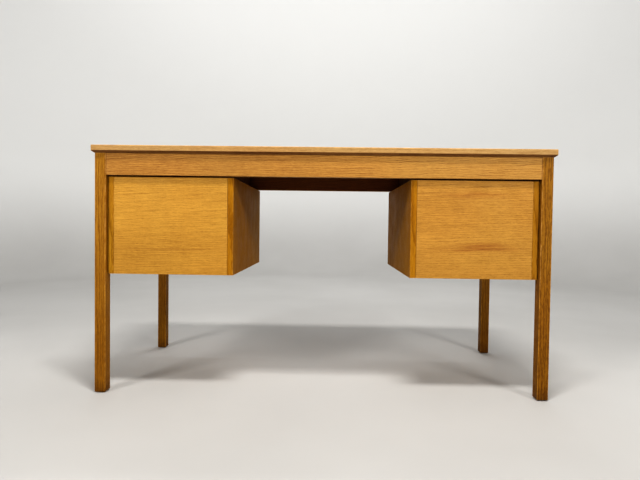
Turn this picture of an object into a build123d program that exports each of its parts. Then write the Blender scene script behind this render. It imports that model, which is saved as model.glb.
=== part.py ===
from build123d import *
import os

# A two-pedestal teacher's desk in oak: a veneered top with solid lippings on a mortised frame of four
# square legs and four rails, and two box pedestals that hang below the rails with two drawers each.
#
# Millimetres. The desk stands on Z = 0 and is centred on X and Y, with +X along its length. The plain
# visitor's side faces -Y and the drawers open towards +Y. Left and right are as the visitor sees them.

# The whole desk
desk_length = 1350.0
desk_depth = 600.0
desk_height = 730.0

# Top: a veneered panel in a mitred solid lipping with an under-bevel
top_thickness = 22.0
top_overhang = 9.0  # past the legs, all round
top_upright = 16.0  # height of the lipping's plain edge, above its bevel
top_bevel_depth = 8.0
top_corner_radius = 4.0
top_arris_radius = 2.0
lipping_width = 20.0
lipping_tongue_length = 6.0
lipping_tongue_thickness = 7.0

# Legs and their glides
leg_width = 32.0  # along X
leg_depth = 34.0  # along Y
leg_arris_radius = 2.0
leg_foot_chamfer = 2.0
glide_height = 2.5
glide_radius = 9.0
glide_dome_radius = 1.5
glide_nail_radius = 1.6
glide_nail_length = 16.0

# Rails, tenoned into the legs
rail_height = 64.0
rail_thickness = 22.0
rail_setback = 2.0  # behind the legs' outer faces
rail_arris_radius = 1.5
tenon_thickness = 8.0
tenon_shoulder = 6.0  # above and below a tenon
tenon_spacing = 3.0  # wood left between the two tenons inside a leg
glue_gap = 0.1  # round tenons and tongues

# Bearers, from rail to rail above the pedestals
bearer_width = 28.0
bearer_inset = 40.0  # from the pedestal's outer or inner face
bearer_tenon_thickness = 10.0
bearer_tenon_length = 8.0

# Pedestals
shadow_gap = 4.0  # between the rails' undersides and the pedestals
pedestal_width = 372.0
pedestal_height = 287.0
pedestal_leg_gap = 2.0
pedestal_setback = 12.0  # behind the legs' outer faces, on both long sides
side_thickness = 18.0
side_arris_radius = 3.0
board_thickness = 16.0  # top and bottom
panel_thickness = 16.0  # closes the visitor's side
panel_arris_radius = 0.8
tongue_length = 6.0
tongue_thickness = 6.0

# Drawers
drawer_rows = 2
drawer_gap = 1.5  # round each front and beside each box
front_thickness = 18.0
front_arris_radius = 1.2
front_landing = 1.0  # between a closed front and what stops it: the runners, and the boards
box_clearance = 2.0  # above and below each box
box_thickness = 12.0  # sides and back
box_rear_space = 24.0  # between the closed box and the visitor's panel
tail_count = 3
tail_neck_share = 0.45  # of the pitch, where a dovetail leaves the side
tail_tip_share = 0.65
bottom_thickness = 5.0
bottom_rise = 6.0  # of the bottom above the sides' lower edges
bottom_groove_depth = 6.0

# Wooden side runners
runner_height = 12.0
runner_seat = 4.0  # housed in the pedestal's side
runner_reach = 6.0  # depth of the groove in the drawer's side
runner_clearance = 0.3  # above, below and beside a runner
runner_rear_gap = 10.0  # to the visitor's panel

# Pulls, tenoned into the fronts
pull_length = 124.0
pull_height = 22.0
pull_projection = 18.0
pull_nose = 7.0  # height of its front edge
pull_cove_rise = 9.4  # of the cove's middle above the pull's lower edge
pull_end_radius = 12.0
pull_tenon_length = 84.0
pull_tenon_thickness = 8.0
pull_tenon_depth = 10.0

# Countersunk slotted wood screws
screw_clearance = 0.3  # round a shank, in the piece that it passes through
screw_slot_width = 0.9
screw_slot_depth = 0.8
pedestal_screw = dict(length=42.0, radius=2.2, head_radius=4.4)
top_screw = dict(length=38.0, radius=2.2, head_radius=4.4)
top_screw_bite = 13.0  # depth in the top
runner_screw = dict(length=19.0, radius=1.5, head_radius=3.0)
counterbore_radius = 5.5
board_screw_inset = 62.0  # of the end screws, from the ends of a board or runner

# Levels
top_underside = desk_height - top_thickness
top_screw_head_z = top_underside + top_screw_bite - top_screw["length"]
rail_bottom = top_underside - rail_height
pedestal_top = rail_bottom - shadow_gap
pedestal_bottom = pedestal_top - pedestal_height

# Places across the length and the depth, on the positive side
leg_outer_x = desk_length / 2 - top_overhang
leg_outer_y = desk_depth / 2 - top_overhang
leg_inner_x = leg_outer_x - leg_width
leg_inner_y = leg_outer_y - leg_depth
rail_inner_x = leg_outer_x - rail_setback - rail_thickness
rail_inner_y = leg_outer_y - rail_setback - rail_thickness
pedestal_outer_x = leg_inner_x - pedestal_leg_gap
pedestal_inner_x = pedestal_outer_x - pedestal_width
pedestal_face_y = leg_outer_y - pedestal_setback
interior_outer_x = pedestal_outer_x - side_thickness
interior_inner_x = pedestal_inner_x + side_thickness
interior_rear_y = -pedestal_face_y + panel_thickness
front_back_y = pedestal_face_y - front_thickness
board_front_y = front_back_y - front_landing
runner_proud = drawer_gap + runner_reach - runner_clearance  # of the pedestal side's inner face
outer_bearer_x = pedestal_outer_x - bearer_inset - bearer_width / 2
inner_bearer_x = pedestal_inner_x + bearer_inset + bearer_width / 2

# Tenons in the legs, which stop short of each other
tenon_centre = rail_setback + rail_thickness / 2  # behind the legs' outer faces
tenon_length_x = leg_width - tenon_centre - tenon_thickness / 2 - tenon_spacing
tenon_length_y = leg_depth - tenon_centre - tenon_thickness / 2 - tenon_spacing

# Drawer sizes
front_height = (pedestal_height - (drawer_rows + 1) * drawer_gap) / drawer_rows
front_pitch = front_height + drawer_gap
box_rise = board_thickness - drawer_gap + box_clearance
box_height = front_height - 2 * box_rise
box_rear_y = interior_rear_y + box_rear_space
box_outer_x = interior_outer_x - drawer_gap
box_inner_x = interior_inner_x + drawer_gap


def block(x0, x1, y0, y1, z0, z1):
    """A box between two corners, which may be given in either order."""
    centre = Pos((x0 + x1) / 2, (y0 + y1) / 2, (z0 + z1) / 2)
    return centre * Box(abs(x1 - x0), abs(y1 - y0), abs(z1 - z0))


def across(shape):
    """The same piece on the other end of the desk."""
    return mirror(shape, about=Plane.YZ)


def turned_about(shape):
    """The same piece on the other long side."""
    return mirror(shape, about=Plane.XZ)


def edges_along(shape, axis, **places):
    """The edges parallel to an axis, at the places given as x=, y= or z=."""
    found = shape.edges().filter_by(axis)
    for name, value in places.items():
        found = [e for e in found if abs(getattr(e.center(), name.upper()) - value) < 0.01]
    return ShapeList(found)


def screw_shape(length, radius, head_radius, clearance=0.0):
    """What a countersunk screw fills, point down, with its head at Z = 0 and clearance at its shank."""
    shank = radius + clearance
    outline = Polyline(
        (0, 0),
        (head_radius, 0),
        (shank, shank - head_radius),
        (shank, 2.5 * radius - length),
        (0, -length),
        close=True,
    )
    return revolve(Plane.XZ * make_face(outline), Axis.Z)


def screw(**sizes):
    """A countersunk wood screw with a slotted head, point down."""
    slot = Box(2 * sizes["head_radius"], screw_slot_width, 2 * screw_slot_depth)
    return screw_shape(**sizes) - slot


def head_at(point, facing):
    """The place of a screw whose head is at a point and faces a direction."""
    return Plane(origin=point, z_dir=facing).location


def cut(shape, tools):
    """A shape less each of several tools."""
    for tool in tools:
        shape = shape - tool
    return shape


# Top -------------------------------------------------------------------------------------------------


def top_outline():
    """The whole top as one solid, with its rounded corners, soft arris and under-bevel."""
    slab = extrude(RectangleRounded(desk_length, desk_depth, top_corner_radius), top_thickness)
    slab = Pos(0, 0, top_underside) * slab
    slab = fillet(slab.faces().sort_by(Axis.Z)[-1].edges(), top_arris_radius)
    bevel_height = top_thickness - top_upright
    spread = top_bevel_depth / bevel_height
    low = Rectangle(desk_length - 2 * top_bevel_depth, desk_depth - 2 * top_bevel_depth)
    reach = 2 * top_bevel_depth - 2 * top_thickness * spread
    high = Rectangle(desk_length - reach, desk_depth - reach)
    return slab & loft([Pos(0, 0, top_underside) * low, Pos(0, 0, desk_height) * high])


def tongue_ring(gap):
    """The lipping's tongue as a closed ring round the panel, or its groove when there is a gap."""
    x = desk_length / 2 - lipping_width
    y = desk_depth / 2 - lipping_width
    middle = top_underside + top_thickness / 2
    half = lipping_tongue_thickness / 2 + gap
    reach = lipping_tongue_length + gap
    ring = block(-x, x, -y, y, middle - half, middle + half)
    return ring - block(reach - x, x - reach, reach - y, y - reach, middle - half, middle + half)


def mitred(length, depth):
    """A prism over one long side's share of the top, from its corners in at 45 degrees."""
    reach = lipping_width + lipping_tongue_length
    plan = Polyline(
        (-length / 2, -depth / 2),
        (length / 2, -depth / 2),
        (length / 2 - reach, -depth / 2 + reach),
        (reach - length / 2, -depth / 2 + reach),
        close=True,
    )
    return Pos(0, 0, top_underside) * extrude(make_face(plan), top_thickness)


def make_top():
    x = desk_length / 2 - lipping_width
    y = desk_depth / 2 - lipping_width
    panel = block(-x, x, -y, y, top_underside, desk_height)
    edging = top_outline() - panel + tongue_ring(0)
    visitor = edging & mitred(desk_length, desk_depth)
    left = edging & (Rot(0, 0, -90) * mitred(desk_depth, desk_length))
    bites = [screw_shape(**top_screw).moved(place) for place in top_screw_places()]
    return {
        "top_panel": cut(panel - tongue_ring(glue_gap), bites + [across(bite) for bite in bites]),
        "top_lipping_visitor": visitor,
        "top_lipping_sitter": turned_about(visitor),
        "top_lipping_left": left,
        "top_lipping_right": across(left),
    }


# Frame -----------------------------------------------------------------------------------------------


def long_tenon(gap):
    """The visitor's rail's left tenon, or the mortise for it when there is a gap."""
    y = tenon_centre - leg_outer_y
    half = tenon_thickness / 2 + gap
    return block(
        -leg_inner_x,
        -leg_inner_x - tenon_length_x - gap,
        y - half,
        y + half,
        rail_bottom + tenon_shoulder - gap,
        top_underside - tenon_shoulder + gap,
    )


def short_tenon(gap):
    """The left rail's tenon on the visitor's side, or the mortise for it."""
    x = tenon_centre - leg_outer_x
    half = tenon_thickness / 2 + gap
    return block(
        x - half,
        x + half,
        -leg_inner_y,
        -leg_inner_y - tenon_length_y - gap,
        rail_bottom + tenon_shoulder - gap,
        top_underside - tenon_shoulder + gap,
    )


def glide():
    """A domed foot glide on its nail, under the left leg on the visitor's side."""
    upright = (Align.CENTER, Align.CENTER, Align.MIN)
    nail = Cylinder(glide_nail_radius, glide_height + glide_nail_length, align=upright)
    foot = Cylinder(glide_radius, glide_height, align=upright)
    foot = fillet(foot.edges().group_by(Axis.Z)[0], glide_dome_radius)
    return Pos(leg_width / 2 - leg_outer_x, leg_depth / 2 - leg_outer_y, 0) * (foot + nail)


def make_leg():
    """The left leg on the visitor's side, with its two mortises."""
    leg = block(
        -leg_outer_x, -leg_inner_x, -leg_outer_y, -leg_inner_y, glide_height, top_underside
    )
    leg = chamfer(leg.faces().sort_by(Axis.Z)[0].edges(), leg_foot_chamfer)
    leg = fillet(leg.edges().filter_by(Axis.Z), leg_arris_radius)
    return leg - long_tenon(glue_gap) - short_tenon(glue_gap) - glide()


def bearer_tenon(x, gap):
    """A bearer's stub tenon on the visitor's side, or the mortise for it."""
    half = bearer_tenon_thickness / 2 + gap
    return block(
        x - half,
        x + half,
        -rail_inner_y,
        -rail_inner_y - bearer_tenon_length - gap,
        rail_bottom + tenon_shoulder - gap,
        top_underside - tenon_shoulder + gap,
    )


def make_bearer(x):
    """A bearer reaches below the rails by the shadow gap, so that it alone carries the pedestal."""
    half = bearer_width / 2
    bearer = block(x - half, x + half, -rail_inner_y, rail_inner_y, pedestal_top, top_underside)
    tenon = bearer_tenon(x, 0)
    bearer = bearer + tenon + turned_about(tenon)
    bites = [screw_shape(**pedestal_screw).moved(place) for place in pedestal_screw_places()]
    return cut(bearer, bites + top_screw_holes())


def make_rails():
    visitor = block(
        -leg_inner_x,
        leg_inner_x,
        rail_setback - leg_outer_y,
        -rail_inner_y,
        rail_bottom,
        top_underside,
    )
    face_y = rail_setback - leg_outer_y
    visitor = fillet(edges_along(visitor, Axis.X, y=face_y, z=rail_bottom), rail_arris_radius)
    tenon = long_tenon(0)
    visitor = visitor + tenon + across(tenon)
    for x in (outer_bearer_x, inner_bearer_x):
        mortise = bearer_tenon(x, glue_gap)
        visitor = visitor - mortise - across(mortise)

    face_x = rail_setback - leg_outer_x
    left = block(face_x, -rail_inner_x, -leg_inner_y, leg_inner_y, rail_bottom, top_underside)
    left = fillet(edges_along(left, Axis.Y, x=face_x, z=rail_bottom), rail_arris_radius)
    tenon = short_tenon(0)
    left = left + tenon + turned_about(tenon)
    return {
        "rail_visitor": visitor,
        "rail_sitter": turned_about(visitor),
        "rail_left": left,
        "rail_right": across(left),
    }


def make_frame():
    leg = make_leg()
    nodes = {
        "leg_visitor_left": leg,
        "leg_visitor_right": across(leg),
        "leg_sitter_left": turned_about(leg),
        "leg_sitter_right": turned_about(across(leg)),
    }
    nodes.update(make_rails())
    for place, x in (("outer", outer_bearer_x), ("inner", inner_bearer_x)):
        bearer = make_bearer(-x)
        nodes[f"bearer_left_{place}"] = bearer
        nodes[f"bearer_right_{place}"] = across(bearer)
    foot = glide()
    nodes["foot_glides"] = Compound(
        children=[foot, across(foot), turned_about(foot), turned_about(across(foot))]
    )
    return nodes


# Screws, on the left half of the desk -----------------------------------------------------------------


def rows_between(low, high, count=3):
    """Places along Y, evenly from one end screw to the other."""
    first = low + board_screw_inset
    step = (high - low - 2 * board_screw_inset) / (count - 1)
    return [first + i * step for i in range(count)]


def pedestal_screw_places():
    """Up through the pedestal's top board into the bearers."""
    head_z = pedestal_top - board_thickness
    return [
        head_at((x, y, head_z), facing=(0, 0, -1))
        for x in (-outer_bearer_x, -inner_bearer_x)
        for y in rows_between(interior_rear_y, board_front_y)
    ]


def top_screw_places():
    """Up through the bearers into the top, halfway between the pedestal's screws."""
    rows = rows_between(interior_rear_y, board_front_y)
    return [
        head_at((x, (rows[i] + rows[i + 1]) / 2, top_screw_head_z), facing=(0, 0, -1))
        for x in (-outer_bearer_x, -inner_bearer_x)
        for i in range(len(rows) - 1)
    ]


def top_screw_holes():
    """The clearance holes for the top's screws, with a counterbore below each head."""
    depth = top_screw_head_z - pedestal_top
    bore = Cylinder(counterbore_radius, depth, align=(Align.CENTER, Align.CENTER, Align.MIN))
    hole = screw_shape(**top_screw, clearance=screw_clearance) + bore
    return [hole.moved(place) for place in top_screw_places()]


def runner_screw_places(side_x, inward):
    """Through both runners on a pedestal's side, whose inner face is at side_x."""
    return [
        head_at((side_x + inward * runner_proud, y, runner_z(row)), facing=(inward, 0, 0))
        for row in range(drawer_rows)
        for y in rows_between(interior_rear_y, board_front_y)
    ]


# Pedestal, at the left end ------------------------------------------------------------------------------


def front_bottom(row):
    """The lower edge of a drawer's front, counted from the top row."""
    return pedestal_top - drawer_gap - front_height - row * front_pitch


def runner_z(row):
    """The middle of a row's runners."""
    return front_bottom(row) + box_rise + box_height / 2


def panel_tongue(x, inward, gap):
    """A tongue down one edge of the visitor's panel, or its groove."""
    middle = panel_thickness / 2 - pedestal_face_y
    half = tongue_thickness / 2 + gap
    low = pedestal_bottom + tongue_length - gap
    high = pedestal_top - tongue_length + gap
    reach = x - inward * (tongue_length + gap)
    return block(x, reach, middle - half, middle + half, low, high)


def board_tongue(x, inward, board_z, gap):
    """A tongue down one end of a top or bottom board, or its groove. board_z is the board's middle."""
    half = tongue_thickness / 2 + gap
    reach = x - inward * (tongue_length + gap)
    front = board_front_y - tongue_length + gap
    return block(x, reach, interior_rear_y, front, board_z - half, board_z + half)


def runners(side_x, inward, gap=0.0):
    """Both runners on one side, or their housings in it when there is a gap."""
    half = runner_height / 2 + gap
    return [
        block(
            side_x - inward * runner_seat,
            side_x + inward * runner_proud,
            interior_rear_y + runner_rear_gap - gap,
            board_front_y + gap,
            runner_z(row) - half,
            runner_z(row) + half,
        )
        for row in range(drawer_rows)
    ]


def board_middles():
    """The heights of the bottom and top boards' middles."""
    return {
        "bottom": pedestal_bottom + board_thickness / 2,
        "top": pedestal_top - board_thickness / 2,
    }


def make_side(outside_x, inside_x, inward):
    """A pedestal's side between its outside and inside faces, with its grooves and housings."""
    y = pedestal_face_y
    side = block(outside_x, inside_x, -y, y, pedestal_bottom, pedestal_top)
    side = fillet(side.edges().filter_by(Axis.Z), side_arris_radius)
    side = side - panel_tongue(inside_x, inward, glue_gap)
    for middle in board_middles().values():
        side = side - board_tongue(inside_x, inward, middle, glue_gap)
    side = cut(side, runners(inside_x, inward, glue_gap))
    places = runner_screw_places(inside_x, inward)
    return cut(side, [screw_shape(**runner_screw).moved(place) for place in places])


def make_runners(side_x, inward):
    """The two runners on one side, bored for their screws."""
    hole = screw_shape(**runner_screw, clearance=screw_clearance)
    holes = [hole.moved(place) for place in runner_screw_places(side_x, inward)]
    return Compound(children=[cut(runner, holes) for runner in runners(side_x, inward)])


def make_board(middle):
    """A top or bottom board with a tongue at each end."""
    half = board_thickness / 2
    board = block(
        -interior_outer_x,
        -interior_inner_x,
        interior_rear_y,
        board_front_y,
        middle - half,
        middle + half,
    )
    board = board + board_tongue(-interior_outer_x, 1, middle, 0)
    return board + board_tongue(-interior_inner_x, -1, middle, 0)


def make_visitor_panel():
    """The plain panel that closes the pedestal, flush with its sides' edges."""
    y = -pedestal_face_y
    panel = block(
        -interior_outer_x,
        -interior_inner_x,
        y,
        y + panel_thickness,
        pedestal_bottom,
        pedestal_top,
    )
    panel = fillet(panel.faces().sort_by(Axis.Y)[0].edges(), panel_arris_radius)
    panel = panel + panel_tongue(-interior_outer_x, 1, 0)
    return panel + panel_tongue(-interior_inner_x, -1, 0)


def make_pedestal():
    middles = board_middles()
    hole = screw_shape(**pedestal_screw, clearance=screw_clearance)
    top = cut(make_board(middles["top"]), [hole.moved(place) for place in pedestal_screw_places()])
    return {
        "outer_side": make_side(-pedestal_outer_x, -interior_outer_x, 1),
        "inner_side": make_side(-pedestal_inner_x, -interior_inner_x, -1),
        "top_board": top,
        "bottom_board": make_board(middles["bottom"]),
        "visitor_panel": make_visitor_panel(),
        "outer_runners": make_runners(-interior_outer_x, 1),
        "inner_runners": make_runners(-interior_inner_x, -1),
    }


# Drawers, in the left pedestal ---------------------------------------------------------------------------


def dovetails(x0, x1, root_y, tip_y, low, high):
    """The tails on the end of a drawer's side, which widen from the root to the tip."""
    pitch = (high - low) / tail_count
    tails = []
    for i in range(tail_count):
        z = low + (i + 0.5) * pitch
        neck = pitch * tail_neck_share / 2
        tip = pitch * tail_tip_share / 2
        outline = Polyline(
            (root_y, z - neck), (tip_y, z - tip), (tip_y, z + tip), (root_y, z + neck), close=True
        )
        tail = extrude(Plane.YZ * make_face(outline), amount=abs(x1 - x0))
        tails.append(Pos(min(x0, x1), 0, 0) * tail)
    return tails


class DrawerLevels:
    """The heights that one row's drawer is made to."""

    def __init__(self, row):
        self.front_low = front_bottom(row)
        self.low = self.front_low + box_rise
        self.high = self.low + box_height
        self.back_low = self.low + bottom_rise + bottom_thickness
        self.runner = runner_z(row)


def side_tails(x0, x1, levels):
    """The tails of one side: those in the front, and those in the back."""
    front_tip_y = front_back_y + box_thickness
    front = dovetails(x0, x1, front_back_y, front_tip_y, levels.low, levels.high)
    rear_root_y = box_rear_y + box_thickness
    rear = dovetails(x0, x1, rear_root_y, box_rear_y, levels.back_low, levels.high)
    return front, rear


def runner_slot(x0, x1, levels):
    """The slot along the outside of a drawer's side for its runner."""
    inward = 1 if x1 > x0 else -1
    half = runner_height / 2 + runner_clearance
    reach = x0 + inward * runner_reach
    return block(
        x0, reach, box_rear_y, front_back_y, levels.runner - half, levels.runner + half
    )


def bottom_groove(levels):
    """The groove round the inside of a box for its bottom, out over the back's lower edge."""
    (_, x0), (_, x1) = side_walls()
    reach = bottom_groove_depth
    low = levels.back_low - bottom_thickness
    return block(
        x0 - reach, x1 + reach, box_rear_y, front_back_y + reach, low, levels.back_low
    )


def make_box_side(x0, x1, levels):
    """A drawer's side between its outer face x0 and its inner face x1."""
    side = block(x0, x1, box_rear_y, front_back_y, levels.low, levels.high)
    front_tails, rear_tails = side_tails(x0, x1, levels)
    rear_y = box_rear_y + box_thickness
    rear_pins = block(x0, x1, box_rear_y, rear_y, levels.back_low, levels.high)
    side = side - cut(rear_pins, rear_tails)
    for tail in front_tails:
        side = side + tail
    return side - runner_slot(x0, x1, levels) - bottom_groove(levels)


def make_box_back(levels):
    back = block(
        -box_outer_x,
        -box_inner_x,
        box_rear_y,
        box_rear_y + box_thickness,
        levels.back_low,
        levels.high,
    )
    for x0, x1 in side_walls():
        back = cut(back, side_tails(x0, x1, levels)[1]) - runner_slot(x0, x1, levels)
    return back


def side_walls():
    """The outer and inner faces of a box's two sides."""
    return (
        (-box_outer_x, box_thickness - box_outer_x),
        (-box_inner_x, -box_inner_x - box_thickness),
    )


def make_box_bottom(levels):
    """The bottom, a little smaller than its groove all round."""
    (_, x0), (_, x1) = side_walls()
    reach = bottom_groove_depth - glue_gap
    low = levels.back_low - bottom_thickness
    return block(
        x0 - reach, x1 + reach, box_rear_y, front_back_y + reach, low, levels.back_low - glue_gap
    )


def pull_tenon(levels, gap):
    """The pull's tenon, or the mortise for it in the front."""
    x = -(box_outer_x + box_inner_x) / 2
    z = levels.front_low + front_height / 2
    half_x = pull_tenon_length / 2 + gap
    half_z = pull_tenon_thickness / 2 + gap
    y = pedestal_face_y
    return block(x - half_x, x + half_x, y, y - pull_tenon_depth - gap, z - half_z, z + half_z)


def make_pull(levels):
    """A shaped grip: its top rounds over to a nose, and the fingers go in a cove below."""
    x = -(box_outer_x + box_inner_x) / 2
    y = pedestal_face_y
    z = levels.front_low + front_height / 2
    half = pull_height / 2
    nose_z = half - pull_nose
    shoulder = (pull_projection * 0.5, half * 0.94)
    tip = (pull_projection, nose_z)
    lip = (pull_projection * 0.86, nose_z - pull_nose / 2)
    outline = Polyline((0, -half), (0, half), shoulder)
    outline += ThreePointArc(shoulder, (pull_projection * 0.88, half * 0.76), tip)
    outline += ThreePointArc(tip, (pull_projection * 0.96, nose_z - pull_nose * 0.35), lip)
    outline += ThreePointArc(lip, (pull_projection * 0.45, pull_cove_rise - half), (0, -half))
    bar = extrude(Plane.YZ * make_face(outline), amount=pull_length / 2, both=True)
    plan = RectangleRounded(pull_length, 2 * pull_projection, pull_end_radius)
    grip = bar & extrude(plan, amount=pull_height, both=True)
    return Pos(x, y, z) * grip + pull_tenon(levels, 0)


def make_front(levels):
    top = levels.front_low + front_height
    front = block(
        -box_outer_x, -box_inner_x, front_back_y, pedestal_face_y, levels.front_low, top
    )
    front = fillet(front.faces().sort_by(Axis.Y)[-1].edges(), front_arris_radius)
    for x0, x1 in side_walls():
        front = cut(front, side_tails(x0, x1, levels)[0])
    return front - bottom_groove(levels) - pull_tenon(levels, glue_gap)


def make_drawer(row):
    levels = DrawerLevels(row)
    (outer_x0, outer_x1), (inner_x0, inner_x1) = side_walls()
    return {
        "front": make_front(levels),
        "outer_side": make_box_side(outer_x0, outer_x1, levels),
        "inner_side": make_box_side(inner_x0, inner_x1, levels),
        "back": make_box_back(levels),
        "bottom": make_box_bottom(levels),
        "pull": make_pull(levels),
    }


# The whole desk ------------------------------------------------------------------------------------------


def make_screws():
    """All the screws, one group for each job."""
    runner_places = runner_screw_places(-interior_outer_x, 1)
    runner_places += runner_screw_places(-interior_inner_x, -1)
    groups = {
        "top_screws": (top_screw, top_screw_places()),
        "pedestal_screws": (pedestal_screw, pedestal_screw_places()),
        "runner_screws": (runner_screw, runner_places),
    }
    nodes = {}
    for name, (sizes, places) in groups.items():
        left = [screw(**sizes).moved(place) for place in places]
        nodes[name] = Compound(children=left + [across(one) for one in left])
    return nodes


def make_desk():
    nodes = make_top()
    nodes.update(make_frame())
    nodes.update(make_screws())
    for name, shape in make_pedestal().items():
        nodes[f"pedestal_left_{name}"] = shape
        nodes[f"pedestal_right_{name}"] = across(shape)
    for row, row_name in enumerate(("upper", "lower")):
        for name, shape in make_drawer(row).items():
            nodes[f"drawer_left_{row_name}_{name}"] = shape
            nodes[f"drawer_right_{row_name}_{name}"] = across(shape)
    return nodes


def write_parts(nodes, folder="parts"):
    os.makedirs(folder, exist_ok=True)
    for name, shape in nodes.items():
        export_step(shape, os.path.join(folder, f"{name}.step"))
    print(len(nodes), "nodes written to", folder)


write_parts(make_desk())
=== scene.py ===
import math

import bmesh
import bpy
from mathutils import Matrix, Vector


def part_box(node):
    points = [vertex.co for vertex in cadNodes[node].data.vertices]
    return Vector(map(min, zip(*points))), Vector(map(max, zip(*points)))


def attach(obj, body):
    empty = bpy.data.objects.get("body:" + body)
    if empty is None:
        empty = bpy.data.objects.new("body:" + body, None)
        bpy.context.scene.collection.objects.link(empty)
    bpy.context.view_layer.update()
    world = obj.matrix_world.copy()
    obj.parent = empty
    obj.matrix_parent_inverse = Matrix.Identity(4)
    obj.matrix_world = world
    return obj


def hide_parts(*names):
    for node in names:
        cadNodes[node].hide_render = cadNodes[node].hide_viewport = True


# A two-pedestal teacher's desk: golden oak under a satin lacquer, with beech drawer boxes inside.
# Metres throughout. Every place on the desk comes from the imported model's own boxes.

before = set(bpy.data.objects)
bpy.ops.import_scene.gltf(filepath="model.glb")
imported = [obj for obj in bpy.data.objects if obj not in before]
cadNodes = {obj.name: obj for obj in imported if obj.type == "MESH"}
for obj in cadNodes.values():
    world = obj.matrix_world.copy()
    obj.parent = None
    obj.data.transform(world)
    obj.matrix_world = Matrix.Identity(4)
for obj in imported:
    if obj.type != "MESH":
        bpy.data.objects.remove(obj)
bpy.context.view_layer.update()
print("frame loaded:", len(cadNodes), "nodes")


# Small helpers for building node trees
def addNode(tree, kind, inputs=None, **settings):
    made = tree.nodes.new(kind)
    for name, value in settings.items():
        setattr(made, name, value)
    for key, value in (inputs or {}).items():
        if isinstance(value, bpy.types.NodeSocket):
            tree.links.new(value, made.inputs[key])
        else:
            made.inputs[key].default_value = value
    return made


def calc(tree, operation, first, second=0.0, third=0.0):
    made = addNode(tree, "ShaderNodeMath", {0: first, 1: second, 2: third}, operation=operation)
    return made.outputs[0]


def vectorCalc(tree, operation, first, second=(0.0, 0.0, 0.0)):
    made = addNode(tree, "ShaderNodeVectorMath", {0: first, 1: second}, operation=operation)
    return made.outputs["Value" if operation in ("LENGTH", "DISTANCE", "DOT_PRODUCT") else "Vector"]


def spread(tree, value, fromLow, fromHigh, toLow=0.0, toHigh=1.0):
    inputs = {0: value, 1: fromLow, 2: fromHigh, 3: toLow, 4: toHigh}
    made = addNode(tree, "ShaderNodeMapRange", inputs, interpolation_type="SMOOTHSTEP")
    return made.outputs[0]


def blendColour(tree, share, first, second, kind="MIX"):
    made = addNode(tree, "ShaderNodeMix", data_type="RGBA", blend_type=kind)
    for socket, value in ((made.inputs[0], share), (made.inputs[6], first), (made.inputs[7], second)):
        if isinstance(value, bpy.types.NodeSocket):
            tree.links.new(value, socket)
        else:
            socket.default_value = value if isinstance(value, float) else (*value[:3], 1.0)
    return made.outputs[2]


def cloud(tree, place, stretch, detail=2.0, roughness=0.5, output=0):
    stretched = vectorCalc(tree, "MULTIPLY", place, stretch)
    inputs = {"Vector": stretched, "Scale": 1.0, "Detail": detail, "Roughness": roughness}
    return addNode(tree, "ShaderNodeTexNoise", inputs).outputs[output]


def newGroup(name, inputs, outputs, kind="ShaderNodeTree"):
    group = bpy.data.node_groups.new(name, kind)
    for label, socketType, value in inputs:
        socket = group.interface.new_socket(label, in_out="INPUT", socket_type=socketType)
        if value is not None:
            socket.default_value = value
    for label, socketType in outputs:
        group.interface.new_socket(label, in_out="OUTPUT", socket_type=socketType)
    return group, group.nodes.new("NodeGroupInput"), group.nodes.new("NodeGroupOutput")


# How the wood grew: rings round a pith, open pores, and fine streaks along the grain. A scale is how many
# to the metre, along the grain and then across it twice. A share is how much each bends the rings or adds
# to the tone.
oakScales = dict(
    bigBend=(1.5, 8.0, 8.0), smallBend=(14.0, 45.0, 45.0), streaks=(20.0, 330.0, 330.0),
    flecks=(78.0, 680.0, 680.0), drift=(1.2, 9.0, 9.0), sheen=(34.0, 26.0, 26.0),
    pores=(130.0, 2300.0, 2300.0))
oakShares = dict(bigBend=2.0, smallBend=0.42, streaks=1.3, flecks=1.45, drift=0.6, sheen=0.22)
oakRings = dict(
    seedShift=(1.31, 0.77, 2.13), unevenScale=75.0, uneven=1.6, earlyWood=0.62, bandMiddle=0.4,
    poreRange=(0.55, 0.66), earlyPores=(0.1, 0.9, 0.2, 1.0), toneRelief=0.25)


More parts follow.
